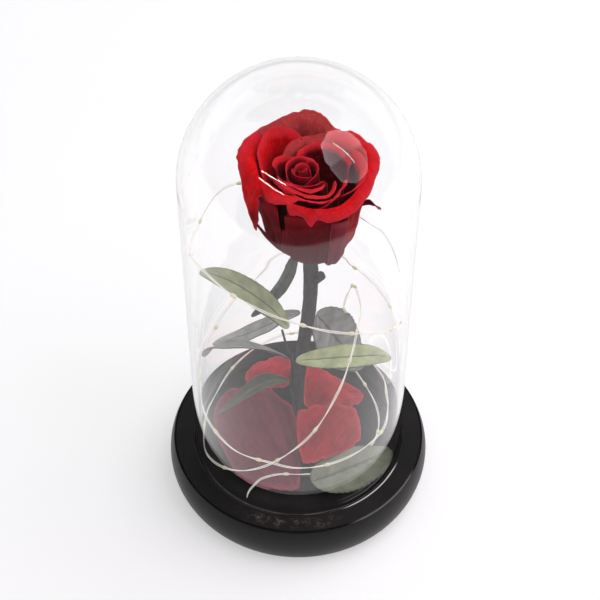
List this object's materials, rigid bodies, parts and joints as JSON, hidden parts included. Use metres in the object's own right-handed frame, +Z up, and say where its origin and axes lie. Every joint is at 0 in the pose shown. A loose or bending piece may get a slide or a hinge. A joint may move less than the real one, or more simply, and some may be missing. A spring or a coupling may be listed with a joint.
{
  "type": "preserved rose in glass dome",
  "caption": "Dried rose on a leafy stem under a tall clear glass bell, on a round black base strewn with loose petals, wound round with a fine string of tiny lamps.",
  "frame": {"origin": "middle of the base's underside, on the surface the object stands on", "axes": "+Z up the middle of the glass; -Y towards the front, the side the rose's rolled lip and the longest loose petal face"},
  "size_m": [0.12, 0.12, 0.2221],
  "materials": {
    "black_lacquer": "black, soft gloss, lightly dusty",
    "clear_glass": "clear blown glass",
    "stem_bark": "dried dark stem",
    "rose_petal": "soft dry petal with a velvety bloom",
    "sepal": "dry and curled",
    "leaf": "dried leaf with raised veins",
    "copper_wire": "fine bare wire with clear drops"
  },
  "bodies": {
    "root": {"base": "black_lacquer", "glass_dome": "clear_glass", "stem": "stem_bark", "leaf_stalk": "stem_bark", "receptacle": "stem_bark", "petal_bud_1": "rose_petal", "petal_bud_2": "rose_petal", "petal_bud_3": "rose_petal", "petal_bud_4": "rose_petal", "petal_bud_5": "rose_petal", "petal_inner_1": "rose_petal", "petal_inner_2": "rose_petal", "petal_inner_3": "rose_petal", "petal_inner_4": "rose_petal", "petal_inner_5": "rose_petal", "petal_inner_6": "rose_petal", "petal_inner_7": "rose_petal", "petal_inner_8": "rose_petal", "petal_inner_9": "rose_petal", "petal_inner_10": "rose_petal", "petal_inner_11": "rose_petal", "petal_cup_1": "rose_petal", "petal_cup_2": "rose_petal", "petal_cup_3": "rose_petal", "petal_cup_4": "rose_petal", "petal_cup_5": "rose_petal", "petal_guard_1": "rose_petal", "petal_guard_2": "rose_petal", "petal_guard_3": "rose_petal", "petal_guard_4": "rose_petal", "petal_guard_5": "rose_petal", "petal_guard_6": "rose_petal", "sepal_right": "sepal", "sepal_left": "sepal", "sepal_front": "sepal", "leaf_lit": "leaf", "leaf_serrated": "leaf", "leaf_arching": "leaf", "leaf_right": "leaf", "leaf_hanging": "leaf", "leaf_small": "leaf", "leaf_narrow": "leaf", "leaf_fallen": "leaf", "petal_fallen_front_left": "rose_petal", "petal_fallen_front_right": "rose_petal", "petal_fallen_back_right": "rose_petal", "petal_fallen_back_left": "rose_petal", "light_string": "copper_wire"}
  },
  "joints": []
}
